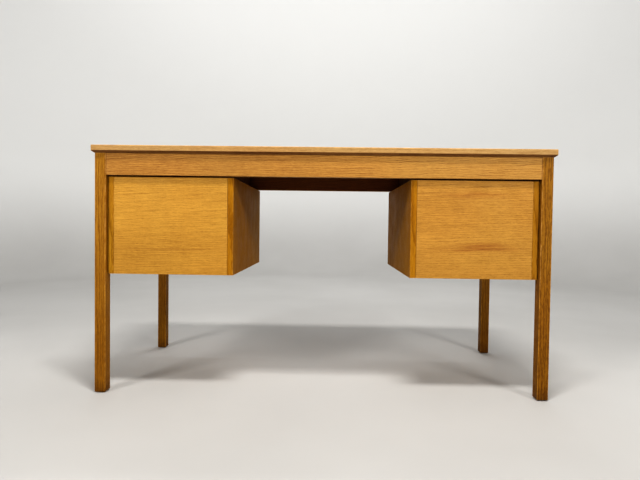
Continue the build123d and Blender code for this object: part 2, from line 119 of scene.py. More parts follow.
def makeOakFigure():
    inputs = [("Grain", "NodeSocketVector", None), ("Seed", "NodeSocketFloat", 0.0),
              ("Ring Width", "NodeSocketFloat", 0.004), ("Pith", "NodeSocketVector", None),
              ("Wave", "NodeSocketFloat", 0.01), ("Taper", "NodeSocketFloat", 0.0),
              ("Bands", "NodeSocketFloat", 0.3), ("Streaks", "NodeSocketFloat", 1.0)]
    outputs = [("Tone", "NodeSocketFloat"), ("Pores", "NodeSocketFloat"), ("Height", "NodeSocketFloat")]
    tree, given, result = newGroup("oakFigure", inputs, outputs)
    grain, seed = given.outputs["Grain"], given.outputs["Seed"]
    shifts = {axis: calc(tree, "MULTIPLY", seed, share) for axis, share in enumerate(oakRings["seedShift"])}
    shift = addNode(tree, "ShaderNodeCombineXYZ", shifts).outputs[0]
    place = vectorCalc(tree, "ADD", grain, shift)
    ringPlace = vectorCalc(tree, "SUBTRACT", grain, given.outputs["Pith"])
    for kind in ("bigBend", "smallBend"):
        bend = cloud(tree, place, oakScales[kind], output=1)
        bend = vectorCalc(tree, "SUBTRACT", bend, (0.5, 0.5, 0.5))
        size = calc(tree, "MULTIPLY", given.outputs["Wave"], oakShares[kind])
        bend = addNode(tree, "ShaderNodeVectorMath", {0: bend, "Scale": size}, operation="SCALE").outputs[0]
        ringPlace = vectorCalc(tree, "ADD", ringPlace, bend)
    radius = vectorCalc(tree, "LENGTH", vectorCalc(tree, "MULTIPLY", ringPlace, (0.0, 1.0, 1.0)))
    unevenInputs = {"W": calc(tree, "ADD", radius, seed), "Scale": oakRings["unevenScale"], "Detail": 1.0}
    uneven = addNode(tree, "ShaderNodeTexNoise", unevenInputs, noise_dimensions="1D").outputs[0]
    along = addNode(tree, "ShaderNodeSeparateXYZ", {0: grain}).outputs[0]
    ring = calc(tree, "DIVIDE", radius, given.outputs["Ring Width"])
    ring = calc(tree, "MULTIPLY_ADD", uneven, oakRings["uneven"], ring)
    ring = calc(tree, "MULTIPLY_ADD", along, given.outputs["Taper"], ring)
    early = spread(tree, calc(tree, "FRACT", ring), 0.0, oakRings["earlyWood"], 1.0, 0.0)
    swayed = vectorCalc(tree, "ADD", ringPlace, shift)
    streaks = cloud(tree, swayed, oakScales["streaks"], 4.0, 0.6)
    flecks = cloud(tree, swayed, oakScales["flecks"], 3.0, 0.62)
    drift = cloud(tree, place, oakScales["drift"], 2.0)
    sheen = cloud(tree, place, oakScales["sheen"], 2.0)
    poreNoise = cloud(tree, place, oakScales["pores"], 1.5)
    earlyPores = spread(tree, early, *oakRings["earlyPores"])
    pores = calc(tree, "MULTIPLY", spread(tree, poreNoise, *oakRings["poreRange"]), earlyPores)
    banded = calc(tree, "SUBTRACT", early, oakRings["bandMiddle"])
    bands = calc(tree, "MULTIPLY", banded, given.outputs["Bands"])
    tone = calc(tree, "SUBTRACT", 0.5, bands)
    fine = calc(tree, "MULTIPLY", calc(tree, "SUBTRACT", streaks, 0.5), oakShares["streaks"])
    fine = calc(tree, "MULTIPLY_ADD", calc(tree, "SUBTRACT", flecks, 0.5), oakShares["flecks"], fine)
    tone = calc(tree, "MULTIPLY_ADD", fine, given.outputs["Streaks"], tone)
    tone = calc(tree, "MULTIPLY_ADD", calc(tree, "SUBTRACT", drift, 0.5), oakShares["drift"], tone)
    tone = calc(tree, "MULTIPLY_ADD", calc(tree, "SUBTRACT", sheen, 0.5), oakShares["sheen"], tone)
    height = calc(tree, "SUBTRACT", calc(tree, "MULTIPLY", tone, oakRings["toneRelief"]), pores)
    for label, socket in (("Tone", tone), ("Pores", pores), ("Height", height)):
        tree.links.new(socket, result.inputs[label])
    return tree


# Beech is close and even, with the short dark flecks of its rays
beechScales = dict(bands=(3.0, 75.0, 75.0), drift=(1.5, 12.0, 12.0), rays=(330.0, 1900.0, 1900.0))
beechShares = dict(bands=1.5, drift=0.7, rayRange=(0.62, 0.7), rayRelief=-0.5)


def makeBeechFigure():
    inputs = [("Grain", "NodeSocketVector", None), ("Seed", "NodeSocketFloat", 0.0)]
    outputs = [("Tone", "NodeSocketFloat"), ("Pores", "NodeSocketFloat"), ("Height", "NodeSocketFloat")]
    tree, given, result = newGroup("beechFigure", inputs, outputs)
    seed = given.outputs["Seed"]
    shift = addNode(tree, "ShaderNodeCombineXYZ", {0: calc(tree, "MULTIPLY", seed, 0.93), 1: seed,
                                                   2: calc(tree, "MULTIPLY", seed, 1.57)}).outputs[0]
    place = vectorCalc(tree, "ADD", given.outputs["Grain"], shift)
    bands = cloud(tree, place, beechScales["bands"], 4.0, 0.6)
    drift = cloud(tree, place, beechScales["drift"])
    rays = spread(tree, cloud(tree, place, beechScales["rays"], 1.0), *beechShares["rayRange"])
    tone = calc(tree, "MULTIPLY_ADD", calc(tree, "SUBTRACT", bands, 0.5), beechShares["bands"], 0.5)
    tone = calc(tree, "MULTIPLY_ADD", calc(tree, "SUBTRACT", drift, 0.5), beechShares["drift"], tone)
    height = calc(tree, "MULTIPLY_ADD", rays, beechShares["rayRelief"], tone)
    for label, socket in (("Tone", tone), ("Pores", rays), ("Height", height)):
        tree.links.new(socket, result.inputs[label])
    return tree


# How far a point of a board is from the board's nearest edge
def makeEdgeDistance():
    inputs = [(label, "NodeSocketVector", None) for label in ("Place", "Low", "High")]
    tree, given, result = newGroup("edgeDistance", inputs, [("Distance", "NodeSocketFloat")])
    fromLow = vectorCalc(tree, "SUBTRACT", given.outputs["Place"], given.outputs["Low"])
    fromHigh = vectorCalc(tree, "SUBTRACT", given.outputs["High"], given.outputs["Place"])
    nearest = vectorCalc(tree, "MINIMUM", fromLow, fromHigh)
    parts = addNode(tree, "ShaderNodeSeparateXYZ", {0: nearest}).outputs
    near = calc(tree, "MINIMUM", parts[0], parts[1])
    far = calc(tree, "MAXIMUM", parts[0], parts[1])
    second = calc(tree, "MAXIMUM", near, calc(tree, "MINIMUM", far, parts[2]))
    tree.links.new(second, result.inputs[0])
    return tree


oakFigure = makeOakFigure()
beechFigure = makeBeechFigure()
edgeDistance = makeEdgeDistance()
turns = {"X": (0.0, 0.0, 0.0), "Y": (0.0, 0.0, -math.pi / 2), "Z": (0.0, math.pi / 2, 0.0)}
plainGloss = 0.3


def startMaterial(name):
    material = bpy.data.materials.new(name)
    material.use_nodes = True
    tree = material.node_tree
    tree.nodes.clear()
    shader = addNode(tree, "ShaderNodeBsdfPrincipled")
    output = addNode(tree, "ShaderNodeOutputMaterial")
    tree.links.new(shader.outputs[0], output.inputs[0])
    shader.inputs["Specular IOR Level"].default_value = plainGloss
    place = addNode(tree, "ShaderNodeTexCoord").outputs["Object"]
    return material, tree, shader, place


# A soft-ended mineral streak lying along the grain of a panel's face
mineralDetails = dict(
    wobbleScale=(14.0, 14.0, 60.0), wobble=(0.05, 0.0, 0.02), solidMiddle=0.1,
    lineScale=(12.0, 12.0, 330.0), lines=(0.3, 0.62, 0.45, 1.0))


def mineralStreak(tree, colour, place, low, high, streak):
    size = high - low
    at = [low[i] + size[i] * streak["at"][i] for i in range(3)]
    wobble = cloud(tree, place, mineralDetails["wobbleScale"], 3.0, output=1)
    wobble = vectorCalc(tree, "SUBTRACT", wobble, (0.5, 0.5, 0.5))
    wobble = vectorCalc(tree, "MULTIPLY", wobble, mineralDetails["wobble"])
    offset = vectorCalc(tree, "ADD", vectorCalc(tree, "SUBTRACT", place, at), wobble)
    reach = [1.0 / value for value in streak["reach"]]
    distance = vectorCalc(tree, "LENGTH", vectorCalc(tree, "MULTIPLY", offset, reach))
    soft = spread(tree, distance, mineralDetails["solidMiddle"], 1.0, streak["strength"], 0.0)
    lines = spread(tree, cloud(tree, place, mineralDetails["lineScale"], 3.0), *mineralDetails["lines"])
    return blendColour(tree, calc(tree, "MULTIPLY", soft, lines), colour, streak["colour"], "MULTIPLY")


# Strips along a piece's faces, each multiplied by its tint. Where a solid edge is glued on, the strip is another
# piece of wood, and its glue line shows faintly; the under-bevel, rail inner-face and rail-end strips are
# painted shade.
glueLine = dict(reach=0.0005, strength=0.5, colour=(0.12, 0.05, 0.01))


def edgeStrips(tree, colour, place, low, high, strips):
    parts = addNode(tree, "ShaderNodeSeparateXYZ", {0: place}).outputs
    for axis, end, width, tint in strips:
        face = high[axis] if end > 0 else low[axis]
        depth = calc(tree, "ABSOLUTE", calc(tree, "SUBTRACT", parts[axis], face))
        inside = calc(tree, "LESS_THAN", depth, width)
        colour = blendColour(tree, inside, colour, tint, "MULTIPLY")
        fromGlue = calc(tree, "ABSOLUTE", calc(tree, "SUBTRACT", depth, width))
        line = spread(tree, fromGlue, 0.0, glueLine["reach"], glueLine["strength"], 0.0)
        colour = blendColour(tree, line, colour, glueLine["colour"])
    return colour


oakDetails = dict(
    pore=(0.10, 0.035, 0.006), leafJoint=(0.14, 0.06, 0.015), leafJointWidth=0.0006, leafJointStrength=0.35,
    wearScale=(60.0, 60.0, 60.0), wearReach=0.0025, wearRagged=0.005, wearSoftness=0.0024,
    dirt=(0.42, 0.36, 0.30), dirtSpan=(-0.4, 0.6), dirtStrength=0.6,
    patchScale=(2.6, 2.6, 2.6), patchRange=(0.35, 0.65), handledScale=(22.0, 22.0, 22.0),
    handledRange=(0.3, 0.7), poreRough=0.16, wearRough=0.12, reliefDepth=0.0005)


def oakMaterial(name, node, look, seed):
    low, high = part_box(node)
    centre = (low + high) / 2
    material, tree, shader, place = startMaterial(name)
    shader.inputs["Specular IOR Level"].default_value = look["gloss"]
    local = vectorCalc(tree, "SUBTRACT", place, centre)
    turned = {"Vector": local, "Rotation": turns[look["axis"]]}
    grain = addNode(tree, "ShaderNodeMapping", turned).outputs[0]
    if "leafWidth" in look:  # veneer leaves laid side by side, each the mirror of the last
        parts = addNode(tree, "ShaderNodeSeparateXYZ", {0: grain}).outputs
        across = calc(tree, "ADD", parts[1], look["leafStart"])
        across = calc(tree, "PINGPONG", across, look["leafWidth"])
        grain = addNode(tree, "ShaderNodeCombineXYZ", {0: parts[0], 1: across, 2: parts[2]}).outputs[0]
    figure = addNode(tree, "ShaderNodeGroup", node_tree=oakFigure)
    tree.links.new(grain, figure.inputs["Grain"])
    settings = {"Seed": seed, "Ring Width": look["ringWidth"], "Pith": look["pith"], "Wave": look["wave"],
                "Taper": look["taper"], "Bands": look["bands"], "Streaks": look["streaks"]}
    for label, value in settings.items():
        figure.inputs[label].default_value = value
    tone = spread(tree, figure.outputs["Tone"], 0.0, 1.0)
    colour = blendColour(tree, tone, look["dark"], look["light"])
    patchPlace = vectorCalc(tree, "ADD", local, (seed, 0.0, seed))
    warm = cloud(tree, patchPlace, oakDetails["patchScale"])
    warm = spread(tree, warm, *oakDetails["patchRange"], 0.0, look["patches"])
    colour = blendColour(tree, warm, colour, look["tint"], "MULTIPLY")
    pores = calc(tree, "MULTIPLY", figure.outputs["Pores"], look["pores"])
    colour = blendColour(tree, pores, colour, oakDetails["pore"])
    if "leafWidth" in look:
        joint = spread(tree, across, 0.0, oakDetails["leafJointWidth"], oakDetails["leafJointStrength"], 0.0)
        colour = blendColour(tree, joint, colour, oakDetails["leafJoint"])
    for streak in look.get("mineral", ()):
        colour = mineralStreak(tree, colour, place, low, high, streak)
    if "strips" in look:
        colour = edgeStrips(tree, colour, place, low, high, look["strips"])
    corners = {0: place, 1: low, 2: high}
    edge = addNode(tree, "ShaderNodeGroup", corners, node_tree=edgeDistance).outputs[0]
    patchy = cloud(tree, place, oakDetails["wearScale"], 3.0, 0.6)
    ragged = calc(tree, "SUBTRACT", edge, oakDetails["wearReach"])
    ragged = calc(tree, "MULTIPLY_ADD", patchy, oakDetails["wearRagged"], ragged)
    wear = spread(tree, ragged, 0.0, oakDetails["wearSoftness"], look["wear"], 0.0)
    colour = blendColour(tree, wear, colour, look["bare"])
    if "lowTint" in look:  # painted shade: the legs darker and browner towards the floor
        height = addNode(tree, "ShaderNodeSeparateXYZ", {0: place}).outputs[2]
        lowShadeShare = spread(tree, height, look["agedFrom"], look["agedTo"], 1.0, 0.0)
        colour = blendColour(tree, lowShadeShare, colour, look["lowTint"], "MULTIPLY")
    if "dirtHeight" in look:  # scuffed and dirty where mops and shoes reach it
        height = addNode(tree, "ShaderNodeSeparateXYZ", {0: place}).outputs[2]
        reach = calc(tree, "MULTIPLY_ADD", patchy, -look["dirtHeight"], height)
        span = [share * look["dirtHeight"] for share in oakDetails["dirtSpan"]]
        dirt = spread(tree, reach, *span, oakDetails["dirtStrength"], 0.0)
        colour = blendColour(tree, dirt, colour, oakDetails["dirt"], "MULTIPLY")
    tree.links.new(colour, shader.inputs["Base Color"])
    handled = cloud(tree, place, oakDetails["handledScale"], 3.0, 0.6)
    rough = spread(tree, handled, *oakDetails["handledRange"], *look["rough"])
    rough = calc(tree, "MULTIPLY_ADD", figure.outputs["Pores"], oakDetails["poreRough"], rough)
    rough = calc(tree, "MULTIPLY_ADD", wear, oakDetails["wearRough"], rough)
    tree.links.new(rough, shader.inputs["Roughness"])
    relief = addNode(tree, "ShaderNodeBump", {
        "Height": figure.outputs["Height"], "Strength": look["relief"],
        "Distance": oakDetails["reliefDepth"]})
    tree.links.new(relief.outputs[0], shader.inputs["Normal"])
    return material


beechDetails = dict(
    ray=(0.25, 0.12, 0.05), plyEdge=(0.36, 0.22, 0.10), plySpan=(0.45, 0.55), plyStrength=0.55,
    wearScale=(45.0, 45.0, 45.0), wearReach=0.003, wearRagged=0.006, wearSoftness=0.003, wear=0.6,
    handledRange=(0.3, 0.7), relief=0.15, reliefDepth=0.0004)


def beechMaterial(name, node, look, seed):
    low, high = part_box(node)
    material, tree, shader, place = startMaterial(name)
    local = vectorCalc(tree, "SUBTRACT", place, (low + high) / 2)
    turned = {"Vector": local, "Rotation": turns[look["axis"]]}
    grain = addNode(tree, "ShaderNodeMapping", turned).outputs[0]
    figure = addNode(tree, "ShaderNodeGroup", {0: grain, 1: seed}, node_tree=beechFigure)
    colour = blendColour(tree, spread(tree, figure.outputs["Tone"], 0.0, 1.0), look["dark"], look["light"])
    rays = calc(tree, "MULTIPLY", figure.outputs["Pores"], look["flecks"])
    colour = blendColour(tree, rays, colour, beechDetails["ray"])
    if "plies" in look:  # the middle plies run the other way, and show dark at the edge
        height = addNode(tree, "ShaderNodeSeparateXYZ", {0: local}).outputs[2]
        layer = calc(tree, "PINGPONG", height, look["plies"])
        span = [share * look["plies"] for share in beechDetails["plySpan"]]
        dark = spread(tree, layer, *span, beechDetails["plyStrength"], 0.0)
        colour = blendColour(tree, dark, colour, beechDetails["plyEdge"])
    corners = {0: place, 1: low, 2: high}
    edge = addNode(tree, "ShaderNodeGroup", corners, node_tree=edgeDistance).outputs[0]
    patchy = cloud(tree, place, beechDetails["wearScale"], 3.0, 0.6)
    ragged = calc(tree, "SUBTRACT", edge, beechDetails["wearReach"])
    ragged = calc(tree, "MULTIPLY_ADD", patchy, beechDetails["wearRagged"], ragged)
    wear = spread(tree, ragged, 0.0, beechDetails["wearSoftness"], beechDetails["wear"], 0.0)
    colour = blendColour(tree, wear, colour, look["worn"])
    tree.links.new(colour, shader.inputs["Base Color"])
    rough = spread(tree, patchy, *beechDetails["handledRange"], *look["rough"])
    tree.links.new(rough, shader.inputs["Roughness"])
    relief = addNode(tree, "ShaderNodeBump", {
        "Height": figure.outputs["Height"], "Strength": beechDetails["relief"],
        "Distance": beechDetails["reliefDepth"]})
    tree.links.new(relief.outputs[0], shader.inputs["Normal"])
    return material


# The finish of each kind of piece. Light and dark are the wood between and in its darker lines, tint is a
# multiplier that comes and goes in patches, and bare is the wood that shows where an edge is worn.

topLook = dict(
    axis="X", gloss=0.35, patches=0.35,
    light=(0.57, 0.325, 0.092), dark=(0.37, 0.182, 0.040), tint=(1.0, 0.90, 0.80), bare=(0.60, 0.36, 0.13),
    ringWidth=0.0042, pith=(0.0, -0.05, 0.16), wave=0.014, taper=5.0, bands=0.35, streaks=0.8,
    pores=0.55, wear=0.0, rough=(0.36, 0.50), relief=0.25,
    leafWidth=0.187, leafStart=0.28)

lippingLook = dict(
    axis="X", gloss=0.3, patches=0.5,
    light=(0.49, 0.315, 0.125), dark=(0.32, 0.18, 0.058), tint=(1.0, 0.88, 0.75), bare=(0.70, 0.42, 0.15),
    ringWidth=0.0030, pith=(0.0, 0.05, 0.09), wave=0.008, taper=3.0, bands=0.4, streaks=0.9,
    pores=0.55, wear=0.7, rough=(0.50, 0.64), relief=0.3)

legLook = dict(
    axis="Z", gloss=0.16, patches=0.6,
    light=(0.385, 0.205, 0.022), dark=(0.19, 0.080, 0.004), tint=(0.95, 0.84, 0.70), bare=(0.66, 0.38, 0.12),
    ringWidth=0.0034, pith=(0.0, 0.07, 0.05), wave=0.010, taper=2.0, bands=0.35, streaks=0.75,
    pores=0.7, wear=0.6, rough=(0.50, 0.64), relief=0.4,
    # Painted shade: the last three settings darken the legs towards the floor.
    dirtHeight=0.05, lowTint=(0.84, 0.79, 0.45), agedFrom=0.08, agedTo=0.50)

railLook = dict(
    axis="X", gloss=0.3, patches=0.5,
    light=(0.50, 0.275, 0.064), dark=(0.31, 0.145, 0.026), tint=(1.0, 0.88, 0.78), bare=(0.70, 0.40, 0.13),
    ringWidth=0.0046, pith=(0.0, 0.055, 0.11), wave=0.020, taper=5.0, bands=0.45, streaks=0.8,
    pores=0.6, wear=0.4, rough=(0.50, 0.64), relief=0.3)

sideLook = dict(
    axis="Z", gloss=0.06, patches=0.5,
    light=(0.42, 0.225, 0.022), dark=(0.25, 0.115, 0.006), tint=(0.98, 0.86, 0.72), bare=(0.62, 0.36, 0.11),
    ringWidth=0.0040, pith=(0.0, 0.14, 0.05), wave=0.012, taper=3.0, bands=0.4, streaks=0.65,
    pores=0.6, wear=0.4, rough=(0.50, 0.64), relief=0.3)

panelLook = dict(
    axis="X", gloss=0.3, patches=0.5,
    light=(0.60, 0.340, 0.060), dark=(0.36, 0.18, 0.022), tint=(1.0, 0.92, 0.84), bare=(0.66, 0.36, 0.10),
    ringWidth=0.0052, pith=(0.0, 0.08, 0.24), wave=0.016, taper=4.0, bands=0.16, streaks=0.62,
    pores=0.5, wear=0.25, rough=(0.50, 0.64), relief=0.25)

boardLook = dict(
    panelLook, light=(0.60, 0.33, 0.09), dark=(0.42, 0.20, 0.04), pith=(0.0, 0.2, 0.06), wear=0.2)

frontLook = dict(
    panelLook, light=(0.66, 0.345, 0.068), dark=(0.44, 0.205, 0.032), pith=(0.0, 0.06, 0.18),
    ringWidth=0.0046, wear=0.5)

pullLook = dict(
    lippingLook, light=(0.58, 0.30, 0.07), dark=(0.34, 0.14, 0.024), bare=(0.50, 0.28, 0.09),
    wear=0.6, rough=(0.24, 0.38))

# Painted shade: the beech bearers stand in the dark space over the pedestals and are given a near-black brown.
shadedBearerLook = dict(
    axis="Y", light=(0.15, 0.075, 0.028), dark=(0.09, 0.042, 0.014), worn=(0.20, 0.11, 0.05),
    flecks=0.6, rough=(0.55, 0.75))

boxLook = dict(
    axis="Y", light=(0.66, 0.45, 0.26), dark=(0.50, 0.31, 0.16), worn=(0.60, 0.44, 0.28),
    flecks=0.55, rough=(0.40, 0.56))

bottomLook = dict(
    axis="X", light=(0.70, 0.54, 0.34), dark=(0.58, 0.41, 0.23), worn=(0.6, 0.46, 0.3),
    flecks=0.25, rough=(0.42, 0.6), plies=0.0017)

runnerLook = dict(
    axis="Y", light=(0.52, 0.32, 0.16), dark=(0.38, 0.21, 0.09), worn=(0.44, 0.28, 0.14),
    flecks=0.6, rough=(0.22, 0.40))

# Mineral streaks in the visitor's panels: at is a share of the panel's size, reach is in metres
visitorMineral = {
    "pedestal_left_visitor_panel": [
        dict(at=(0.45, 0.0, 0.26), reach=(0.30, 1.0, 0.006), strength=0.55, colour=(0.72, 0.62, 0.50)),
        dict(at=(0.5, 0.0, 0.05), reach=(0.40, 1.0, 0.045), strength=0.5, colour=(0.90, 0.84, 0.76))],
    "pedestal_right_visitor_panel": [
        dict(at=(0.50, 0.0, 0.85), reach=(0.14, 1.0, 0.016), strength=0.8, colour=(0.80, 0.66, 0.54)),
        dict(at=(0.57, 0.0, 0.33), reach=(0.13, 1.0, 0.020), strength=0.9, colour=(0.72, 0.56, 0.44)),
        dict(at=(0.50, 0.0, 0.30), reach=(0.20, 1.0, 0.010), strength=0.7, colour=(0.80, 0.66, 0.54)),
        dict(at=(0.66, 0.0, 0.05), reach=(0.20, 1.0, 0.045), strength=0.5, colour=(0.90, 0.84, 0.76))]}


def tinted(look, share, **changes):
    light = tuple(value * factor for value, factor in zip(look["light"], share))
    dark = tuple(value * factor for value, factor in zip(look["dark"], share))
    return dict(look, light=light, dark=dark, **changes)


# How one piece differs from the others of its kind, as multipliers of its wood or of a strip on its edge
legShares = {"leg_visitor_left": (1.14, 1.13, 1.15), "leg_visitor_right": (0.86, 0.80, 0.68)}
sitterLegShare = (0.86, 0.81, 0.68)
coarseLeg = dict(streaks=1.7, bands=0.5)  # the visitor's right leg shows strong dark dashes
panelShares = {
    "pedestal_left_visitor_panel": (1.0, 1.0, 1.0), "pedestal_right_visitor_panel": (0.91, 0.88, 0.98)}
# Painted shade: the inner sides, which face the shaded knee space, are darker, yellower copies of the outer
# sides' wood.
sideShadeShares = dict(inner=(0.95, 0.87, 0.58), outer=(1.22, 1.24, 2.0))
sideEdges = dict(
    width=0.006, inner=(1.06, 1.06, 1.10), outer=(0.84, 0.82, 0.50), rightOuter=(0.72, 0.68, 0.42),
    sitter=(0.86, 0.82, 0.66), lowWidth=0.004, low=(0.90, 0.86, 0.76))
boardEdge = dict(width=0.006, tint=(0.80, 0.74, 0.68))
# Painted shade: the bottom band of each top lipping, its under-bevel, is multiplied darker, as the shade under
# the top's edge.
underBevelShade = dict(height=0.0064, tint=(0.50, 0.38, 0.28))
# Painted shade on the rails: inside darkens each rail's inner face, and joint darkens each end of a rail where
# it meets a leg.
railShades = dict(shadedFaceDepth=0.0015, inside=(0.40, 0.28, 0.22), jointShadeWidth=0.0012, joint=(0.42, 0.32, 0.26))

# How far a rail's tenon runs into a leg, so where its shoulder shows
legLow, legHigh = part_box("leg_visitor_right")
shoulderInset = {"x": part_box("rail_visitor")[1][0] - legLow[0], "y": legHigh[1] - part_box("rail_right")[0][1]}

# The rails' inner faces look into the dark space under the top and are multiplied a darker brown: painted shade.
shadedInnerFaces = {"rail_visitor": (1, 1), "rail_sitter": (1, -1), "rail_left": (0, 1), "rail_right": (0, -1)}


def lookOf(name):
    if name == "top_panel":
        return oakMaterial, topLook
    if name.startswith("top_lipping"):
        axis = "X" if name.endswith(("visitor", "sitter")) else "Y"
        strips = [(2, -1, underBevelShade["height"], underBevelShade["tint"])]
        return oakMaterial, dict(lippingLook, axis=axis, strips=strips)
    if name.startswith("leg_"):
        look = tinted(legLook, legShares.get(name, sitterLegShare))
        return oakMaterial, dict(look, **coarseLeg) if name == "leg_visitor_right" else look
    if name.startswith("rail_"):
        across = name.endswith(("visitor", "sitter"))
        inside = (*shadedInnerFaces[name], railShades["shadedFaceDepth"], railShades["inside"])
        # Painted shade: a dark line on each end of the rail by the leg, where the rail is set back from the
        # leg's face.
        shoulder = shoulderInset["x" if across else "y"] + railShades["jointShadeWidth"]
        shadedEnds = [(0 if across else 1, end, shoulder, railShades["joint"]) for end in (-1, 1)]
        return oakMaterial, dict(railLook, axis="X" if across else "Y", strips=[inside, *shadedEnds])
    if name.startswith("bearer_"):
        return beechMaterial, shadedBearerLook
    if name.endswith("visitor_panel"):
        return oakMaterial, tinted(panelLook, panelShares[name], mineral=visitorMineral[name])
    if name.endswith("_board"):
        return oakMaterial, dict(boardLook, strips=[(1, 1, boardEdge["width"], boardEdge["tint"])])
    if name.endswith("runners"):
        return beechMaterial, runnerLook
    if name.startswith("pedestal"):
        kind = "inner" if "inner" in name else "outer"
        edge = sideEdges["rightOuter" if name == "pedestal_right_outer_side" else kind]
        strips = [(1, -1, sideEdges["width"], edge), (1, 1, sideEdges["width"], sideEdges["sitter"]),
                  (2, -1, sideEdges["lowWidth"], sideEdges["low"])]
        return oakMaterial, tinted(sideLook, sideShadeShares[kind], strips=strips)
    if name.endswith("_front"):
        return oakMaterial, frontLook
    if name.endswith("_pull"):
        return oakMaterial, pullLook
    if name.endswith("_bottom"):
        return beechMaterial, bottomLook
    return beechMaterial, dict(boxLook, axis="X" if name.endswith("_back") else "Y")


figureSeeds = dict(leftFronts=3.1, rightFronts=5.7, first=1.0, step=0.731)


# The drawer fronts of one pedestal are cut from one leaf, so they share a seed
def seedOf(name, index):
    if name.endswith("_front"):
        return figureSeeds["leftFronts" if "left" in name else "rightFronts"]
    return figureSeeds["first"] + figureSeeds["step"] * index


hardware = ("foot_glides", "top_screws", "pedestal_screws", "runner_screws")
for index, name in enumerate(sorted(cadNodes)):
    if name in hardware:
        continue
    makeMaterial, look = lookOf(name)
    cadNodes[name].material_slots[0].material = makeMaterial(f"{name}_wood", name, look, seedOf(name, index))
print("wood finished")


geometryOut = [("Geometry", "NodeSocketGeometry")]
mergeDistance = 0.00001
sharpAngles = dict(wood=0.6, hardware=0.7)


# Rounded arrises read as round: facets that meet at a shallow angle are shaded as one surface
def makeSoftArrises():
    inputs = [("Geometry", "NodeSocketGeometry", None),
              ("Sharp Angle", "NodeSocketFloat", sharpAngles["wood"])]
    tree, given, result = newGroup("softArrises", inputs, geometryOut, "GeometryNodeTree")
    merged = addNode(tree, "GeometryNodeMergeByDistance", {
        "Geometry": given.outputs[0], "Distance": mergeDistance})
    angle = addNode(tree, "GeometryNodeInputMeshEdgeAngle").outputs["Unsigned Angle"]
    sharp = addNode(tree, "FunctionNodeCompare", {0: angle, 1: given.outputs[1]}, operation="GREATER_THAN")
    shaded = addNode(tree, "GeometryNodeSetMeshNormal", mode="SHARPNESS")
    tree.links.new(merged.outputs[0], shaded.inputs["Mesh"])
    shaded.inputs["Remove Custom"].default_value = True
    shaded.inputs["Face Sharpness"].default_value = False
    tree.links.new(sharp.outputs[0], shaded.inputs["Edge Sharpness"])
    tree.links.new(shaded.outputs[0], result.inputs[0])
    return tree


softArrises = makeSoftArrises()
for name, node in cadNodes.items():
    if name not in hardware:
        node.modifiers.new("softArrises", "NODES").node_group = softArrises
print("arrises softened")


# Metal, with the finish worn in patches and fine scratches where it is handled
metalDetails = dict(
    dulledRange=(0.38, 0.66), scratchRange=(0.60, 0.68), scratchStrength=0.5, scratchRough=0.15,
    relief=0.2, reliefDepth=0.0001)


def metalMaterial(name, look):
    material, tree, shader, place = startMaterial(name)
    shader.inputs["Metallic"].default_value = 1.0
    dulled = spread(tree, cloud(tree, place, look["patches"], 4.0, 0.6), *metalDetails["dulledRange"])
    colour = blendColour(tree, dulled, look["bright"], look["dull"])
    scratches = spread(tree, cloud(tree, place, look["scratches"], 2.0), *metalDetails["scratchRange"])
    scratchMix = calc(tree, "MULTIPLY", scratches, metalDetails["scratchStrength"])
    colour = blendColour(tree, scratchMix, colour, look["scratched"])
    tree.links.new(colour, shader.inputs["Base Color"])
    rough = spread(tree, dulled, 0.0, 1.0, *look["rough"])
    rough = calc(tree, "MULTIPLY_ADD", scratches, metalDetails["scratchRough"], rough)
    tree.links.new(rough, shader.inputs["Roughness"])
    relief = addNode(tree, "ShaderNodeBump", {
        "Height": scratches, "Strength": metalDetails["relief"], "Distance": metalDetails["reliefDepth"]})
    tree.links.new(relief.outputs[0], shader.inputs["Normal"])
    return material


zincLook = dict(
    bright=(0.66, 0.64, 0.58), dull=(0.46, 0.44, 0.39), scratched=(0.30, 0.28, 0.25),
    patches=(420.0, 420.0, 420.0), scratches=(2600.0, 500.0, 900.0), rough=(0.24, 0.48))
nickelLook = dict(
    bright=(0.74, 0.72, 0.68), dull=(0.52, 0.50, 0.46), scratched=(0.34, 0.32, 0.29),
    patches=(240.0, 240.0, 240.0), scratches=(2200.0, 260.0, 900.0), rough=(0.16, 0.42))


# A shape turned on a lathe in Geometry Nodes: a grid is rolled up, its columns going round and its rows up
seamDistance = 0.000001


def rolledGrid(tree, sides, rows):
    grid = addNode(tree, "GeometryNodeMeshGrid", {
        "Size X": 1.0, "Size Y": 1.0, "Vertices X": calc(tree, "ADD", sides, 1.0), "Vertices Y": rows})
    at = addNode(tree, "ShaderNodeSeparateXYZ", {0: tree.nodes.new("GeometryNodeInputPosition").outputs[0]})
    return grid.outputs["Mesh"], calc(tree, "ADD", at.outputs[0], 0.5), calc(tree, "ADD", at.outputs[1], 0.5)


def rollUp(tree, grid, turn, radius, height):
    angle = calc(tree, "MULTIPLY", turn, 2 * math.pi)
    place = addNode(tree, "ShaderNodeCombineXYZ", {
        0: calc(tree, "MULTIPLY", radius, calc(tree, "COSINE", angle)),
        1: calc(tree, "MULTIPLY", radius, calc(tree, "SINE", angle)), 2: height}).outputs[0]
    moved = addNode(tree, "GeometryNodeSetPosition", {"Geometry": grid, "Position": place}).outputs[0]
    closed = addNode(tree, "GeometryNodeMergeByDistance", {"Geometry": moved, "Distance": seamDistance})
    return closed.outputs[0]


